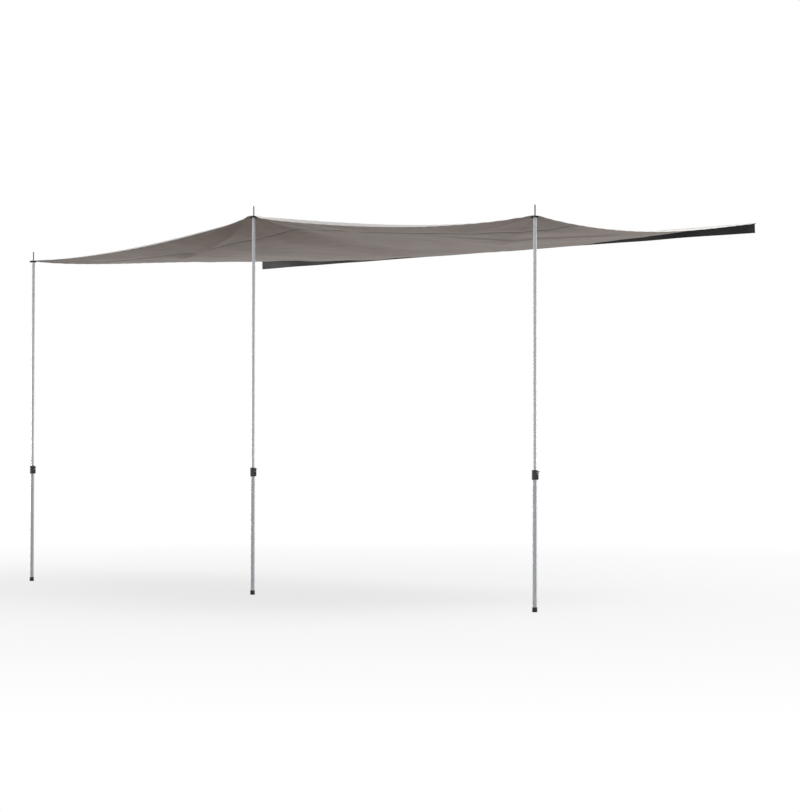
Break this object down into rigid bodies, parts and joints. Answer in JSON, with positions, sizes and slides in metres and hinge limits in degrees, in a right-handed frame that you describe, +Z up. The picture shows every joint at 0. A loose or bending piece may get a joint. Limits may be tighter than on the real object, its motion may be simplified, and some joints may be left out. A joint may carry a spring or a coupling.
{
  "type": "sun canopy",
  "caption": "Fabric sun canopy that slides into an awning rail along its back edge and stands in front on telescopic poles with cam clamps.",
  "frame": {"origin": "middle of the cloth's back edge, where the bead's web begins", "axes": "+X along the front edge to the right as seen from in front, +Y from the poles towards the awning, +Z up"},
  "size_m": [4.2445, 2.208, 2.3405],
  "materials": {
    "cloth": "matt woven polyester, warm grey",
    "hem": "matt, pale outer face of the cloth",
    "black_band": "matt coated fabric",
    "webbing": "woven webbing",
    "bead": "smooth soft plastic",
    "tube": "galvanised, drawn along the tube",
    "zinc": "zinc plated",
    "plastic": "moulded, lightly textured",
    "rubber": "matt",
    "nylon": "natural nylon"
  },
  "bodies": {
    "canopy": {"main_panel": "cloth", "front_strip": "cloth", "front_hem": "hem", "left_hem": "hem", "right_hem": "hem", "keder_strip": "bead", "back_flap": "black_band", "left_tab": "webbing", "left_patch": "hem", "left_eyelet": "zinc", "middle_tab": "webbing", "middle_patch": "hem", "middle_eyelet": "zinc", "right_tab": "webbing", "right_patch": "hem", "right_eyelet": "zinc"},
    "left_upper": {"left_spike": "zinc", "left_top_plug": "zinc", "left_upper_tube": "tube", "left_glide_bush": "nylon"},
    "left_lower": {"left_lower_tube": "tube", "left_foot_cap": "rubber", "left_clamp_collar": "plastic", "left_lever_pin": "zinc", "left_brake_shoe": "nylon"},
    "left_lever": {"left_clamp_lever": "plastic"},
    "middle_upper": {"middle_spike": "zinc", "middle_top_plug": "zinc", "middle_upper_tube": "tube", "middle_glide_bush": "nylon"},
    "middle_lower": {"middle_lower_tube": "tube", "middle_foot_cap": "rubber", "middle_clamp_collar": "plastic", "middle_lever_pin": "zinc", "middle_brake_shoe": "nylon"},
    "middle_lever": {"middle_clamp_lever": "plastic"},
    "right_upper": {"right_spike": "zinc", "right_top_plug": "zinc", "right_upper_tube": "tube", "right_glide_bush": "nylon"},
    "right_lower": {"right_lower_tube": "tube", "right_foot_cap": "rubber", "right_clamp_collar": "plastic", "right_lever_pin": "zinc", "right_brake_shoe": "nylon"},
    "right_lever": {"right_clamp_lever": "plastic"}
  },
  "joints": [
    {"name": "left_pole_swing", "type": "hinge", "parent": "canopy", "child": "left_upper", "pos_m": [-2.1, -2.175, -0.141], "axis": [1, 0, 0], "range_deg": [-10, 10]},
    {"name": "left_pole_extend", "type": "slide", "parent": "left_upper", "child": "left_lower", "axis": [0, 0, -1], "range_m": [-0.45, 0.19]},
    {"name": "left_clamp_lever_open", "type": "hinge", "parent": "left_lower", "child": "left_lever", "pos_m": [-2.08673, -2.16571, -1.5244], "axis": [-0.5736, 0.8192, 0], "range_deg": [0, 110]},
    {"name": "middle_pole_swing", "type": "hinge", "parent": "canopy", "child": "middle_upper", "pos_m": [-0.038, -2.175, 0.015], "axis": [1, 0, 0], "range_deg": [-10, 10]},
    {"name": "middle_pole_extend", "type": "slide", "parent": "middle_upper", "child": "middle_lower", "axis": [0, 0, -1], "range_m": [-0.6, 0.04]},
    {"name": "middle_clamp_lever_open", "type": "hinge", "parent": "middle_lower", "child": "middle_lever", "pos_m": [-0.02473, -2.16571, -1.5244], "axis": [-0.5736, 0.8192, 0], "range_deg": [0, 110]},
    {"name": "right_pole_swing", "type": "hinge", "parent": "canopy", "child": "right_upper", "pos_m": [2.1, -2.175, -0.131], "axis": [1, 0, 0], "range_deg": [-10, 10]},
    {"name": "right_pole_extend", "type": "slide", "parent": "right_upper", "child": "right_lower", "axis": [0, 0, -1], "range_m": [-0.45, 0.19]},
    {"name": "right_clamp_lever_open", "type": "hinge", "parent": "right_lower", "child": "right_lever", "pos_m": [2.11327, -2.16571, -1.5244], "axis": [-0.5736, 0.8192, 0], "range_deg": [0, 110]}
  ]
}
